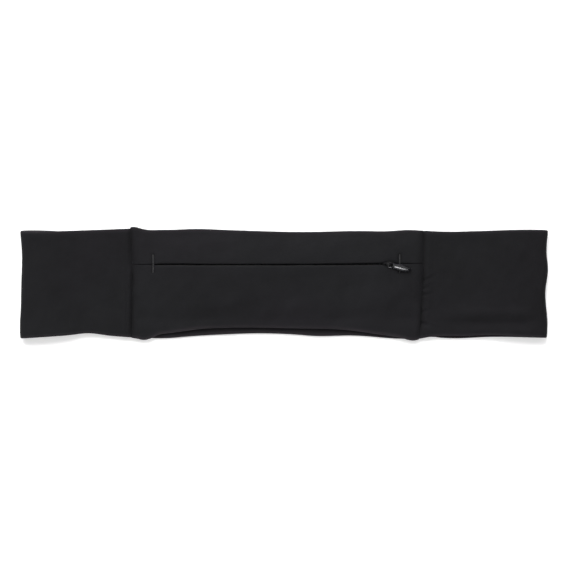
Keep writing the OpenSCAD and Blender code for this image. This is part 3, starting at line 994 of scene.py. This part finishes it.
def knit_material(name, dark, light, warm):
    """Fine matte knit: columns of loops up the band, with fuzz, slow changes of shade and
    dye, a painted highlight along folded edges and painted shade in seams, read from the mesh."""
    n = Nodes(name)
    u, v = n.cloth()
    wale, course = 0.62, 0.5  # width and height of a loop of the knit
    column = n.ridge(u, wale)
    slant = n.math("MULTIPLY", n.math("SINE", n.math("MULTIPLY", u, 2 * PI / (wale * MM))), 1.3)
    loop = n.ridge(v, course, slant)
    height = n.total((n.math("POWER", column, 0.6), 0.65), (loop, 0.35))
    fuzz = n.noise(2600, 3)
    slow = n.noise(22, 2)
    cloud = n.noise(120, 3, 0.6)
    painted_shading = n.painted_shading()
    # Where the mesh's painted shading is below 0 it darkens the cloth as painted shade.
    shade = n.total((slow, 0.45), (fuzz, 0.25), (cloud, 0.2), (height, 0.2),
                    (n.math("MINIMUM", painted_shading, 0), 0.42))
    dyed = n.mix(n.map_range(n.noise(7, 1), 0.42, 0.62, 0, 1), light, warm)
    cloth = n.mix(shade, dark, dyed)
    # Where the mesh's painted shading is above 0 the cloth is painted paler, a painted highlight.
    pale = (0.031, 0.0265, 0.0305)
    n.set("Base Color", n.mix(n.math("MULTIPLY", painted_shading, 0.34), cloth, pale))
    n.set("Roughness", n.map_range(fuzz, 0.3, 0.7, 0.72, 0.92))
    n.set("Specular IOR Level", 0.12)
    n.set("Sheen Weight", 0.02)
    n.set("Sheen Roughness", 0.5)
    n.set("Sheen Tint", (0.9, 0.92, 1, 1))
    relief = n.total((fuzz, 0.3), (height, 1))
    n.set("Normal", n.bump(relief, 0.09, 0.7, n.bump(cloud, 0.25, 0.5)))
    return n.owner


def elastic_material():
    """Ribbed elastic: cords along it, crossed by fine threads."""
    n = Nodes("ribbed_elastic")
    u, v = n.cloth()
    rib = n.ridge(v, 0.8)
    pick = n.ridge(u, 0.5)
    n.set("Base Color", n.mix(rib, (0.008, 0.008, 0.009), (0.02, 0.02, 0.021)))
    n.set("Roughness", n.map_range(pick, 0, 1, 0.6, 0.85))
    n.set("Specular IOR Level", 0.3)
    n.set("Normal", n.bump(n.total((pick, 0.5), (rib, 1)), 0.15))
    return n.owner


def tape_material():
    """Woven tape: a herringbone of fine threads."""
    n = Nodes("woven_tape")
    u, v = n.cloth()
    warp = n.ridge(v, 0.7)
    zig = n.math("MULTIPLY", n.math("PINGPONG", v, 1.4 * MM), 2 * PI / (0.6 * MM))
    weft = n.ridge(u, 0.6, zig)
    weave = n.total((weft, 0.6), (warp, 0.4))
    fuzz = n.noise(3000, 2)
    shade = n.total((fuzz, 0.4), (weave, 0.6))
    n.set("Base Color", n.mix(shade, (0.003, 0.003, 0.0035), (0.011, 0.011, 0.012)))
    n.set("Roughness", n.map_range(fuzz, 0.3, 0.7, 0.6, 0.8))
    n.set("Specular IOR Level", 0.3)
    n.set("Normal", n.bump(weave, 0.1))
    return n.owner


def nylon_material():
    """Smooth, slightly cloudy nylon wire."""
    n = Nodes("nylon_wire")
    cloud = n.noise(900, 2)
    n.set("Base Color", n.mix(cloud, (0.003, 0.003, 0.0035), (0.008, 0.008, 0.009)))
    n.set("Specular IOR Level", 0.3)
    n.set("Roughness", n.map_range(cloud, 0.3, 0.7, 0.25, 0.42))
    n.set("Normal", n.bump(n.noise(4000, 2), 0.01))
    return n.owner


def thread_material():
    """Twisted polyester thread, a little lighter than the cloth."""
    n = Nodes("twisted_thread")
    u, v = n.cloth()
    ply = n.ridge(u, 0.5, n.math("MULTIPLY", v, 2 * PI / (0.9 * MM)))
    cloud = n.noise(700, 2)
    shade = n.total((ply, 0.7), (cloud, 0.3))
    n.set("Base Color", n.mix(shade, (0.008, 0.008, 0.009), (0.028, 0.028, 0.03)))
    n.set("Roughness", n.map_range(cloud, 0.3, 0.7, 0.4, 0.6))
    n.set("Specular IOR Level", 0.35)
    n.set("Sheen Weight", 0.04)
    n.set("Normal", n.bump(ply, 0.05))
    return n.owner


def enamel_material():
    """Glossy black enamel, thin and greyer where edges have rubbed."""
    n = Nodes("black_enamel")
    cloud = n.noise(600, 3, 0.6)
    edge = n.map_range(n.add("NewGeometry").outputs["Pointiness"], 0.53, 0.62, 0, 1)
    worn = n.math("MULTIPLY", edge, n.map_range(cloud, 0.45, 0.65, 0, 1))
    n.set("Base Color", n.mix(worn, (0.003, 0.003, 0.0035), (0.02, 0.019, 0.018)))
    n.set("Specular IOR Level", 0.16)
    n.set("Roughness", n.map_range(cloud, 0.3, 0.7, 0.22, 0.36))
    n.set("Normal", n.bump(n.noise(350, 2), 0.03, 0.5))
    return n.owner


def gunmetal_material():
    """Dark plating with fine scratches along the leaf, pale where the mesh paints a highlight and
    darker elsewhere as painted shade.
    """
    n = Nodes("dark_gunmetal")
    stretched = n.add("Mapping", {"Vector": n.place(), "Scale": (1, 9, 1)}).outputs[0]
    scratch = n.noise(1500, 4, 0.7, stretched)
    cloud = n.noise(400, 2)
    # The plating is pale where the mesh paints a highlight and dark elsewhere, as painted shade.
    highlight_mask = n.math("ADD", n.painted_shading(), 1.0)
    shade = n.math("MULTIPLY", highlight_mask, n.math("MULTIPLY_ADD", cloud, 0.4, 0.6))
    n.set("Base Color", n.mix(shade, (0.014, 0.014, 0.016), (0.18, 0.18, 0.185)))
    n.set("Metallic", 1.0)
    n.set("Roughness", n.map_range(scratch, 0.35, 0.65, 0.12, 0.17))
    n.set("Normal", n.bump(scratch, 0.003, 0.5))
    return n.owner


# ---------------------------------------- stage and camera

def make_stage():
    """Pale floor that glows a little, an even room, soft lamps on four sides and two smaller ones
    overhead.
    """
    size = 3
    mesh = bpy.data.meshes.new("floor")
    corners = [(-size, -size, 0), (size, -size, 0), (size, size, 0), (-size, size, 0)]
    under = 0.0002  # just below the cloth's lowest point
    mesh.from_pydata(corners, [], [(0, 1, 2, 3)])
    floor = bpy.data.objects.new("floor", mesh)
    bpy.context.scene.collection.objects.link(floor)
    floor.location.z = -under
    n = Nodes("floor_paper")
    n.set("Base Color", (0.93, 0.93, 0.93, 1))
    n.set("Roughness", 0.9)
    n.set("Specular IOR Level", 0.1)
    # The floor's glow is painted light: it fills the shadow under the belt and lights its lower
    # rims.
    n.set("Emission Color", (1, 1, 1, 1))
    n.set("Emission Strength", 0.3)
    mesh.materials.append(n.owner)

    scene = bpy.context.scene
    scene.view_settings.view_transform = "Standard"
    scene.view_settings.look = "None"
    # The room is dark straight overhead, where the camera would be.
    n = Nodes("room", "worlds", "Background")
    scene.world = n.owner
    up = n.add("SeparateXYZ", {0: n.add("TexCoord").outputs["Generated"]}).outputs[2]
    n.set("Color", (1, 1, 1, 1))
    n.set("Strength", n.map_range(up, 0.98, 0.999, 0.36, 0.04))

    for name, place, size, power in (
        ("soft_key_left", (-1.35, 1.25, 0.95), 0.9, 5),
        ("soft_key_right", (1.4, 1.15, 0.95), 0.9, 1.5),
        ("soft_key_far", (-0.3, 1.6, 1.3), 1.8, 74),
        ("soft_fill_near", (0, -1.9, 0.6), 1, 24),
        ("overhead_lamp", (0.17, 0.22, 2.4), 0.1, 1.2),
        ("overhead_glow", (0.2, -0.5, 2.4), 0.5, 0.3),
    ):
        lamp = bpy.data.lights.new(name, "AREA")
        lamp.size = size
        lamp.energy = power
        light = bpy.data.objects.new(name, lamp)
        scene.collection.objects.link(light)
        light.location = place
        aim = -light.location
        light.rotation_euler = aim.to_track_quat("-Z", "Y").to_euler()


def make_camera():
    """Straight down on the belt from far off, with a little room at both its ends."""
    height = 2.6
    width = 0.4703
    aim = (0.0005, 0.0003)
    camera = bpy.data.cameras.new("camera")
    camera.lens = camera.sensor_width * height / width
    obj = bpy.data.objects.new("camera", camera)
    obj.location = (*aim, height)
    bpy.context.scene.collection.objects.link(obj)
    bpy.context.scene.camera = obj


def main():
    make_camera()
    make_stage()
    LOOKS.update(
        knit=knit_material("black_knit", (0.002, 0.002, 0.0022), (0.0116, 0.0117, 0.0134),
                           (0.0116, 0.0108, 0.0132)),
        lining=knit_material("black_lining", (0.006, 0.005, 0.0056), (0.022, 0.0185, 0.0205),
                             (0.023, 0.018, 0.021)),
        elastic=elastic_material(),
        zip_tape=tape_material(),
        zip_coil=nylon_material(),
        thread=thread_material(),
        dark_enamel=enamel_material(),
        gunmetal=gunmetal_material(),
    )
    make_band()
    make_front()
    make_side_seams()
    make_tapes()
    make_coils()
    make_stops()
    make_tape_stitches()
    make_bar_tacks()
    make_slider()
    make_puller()


main()
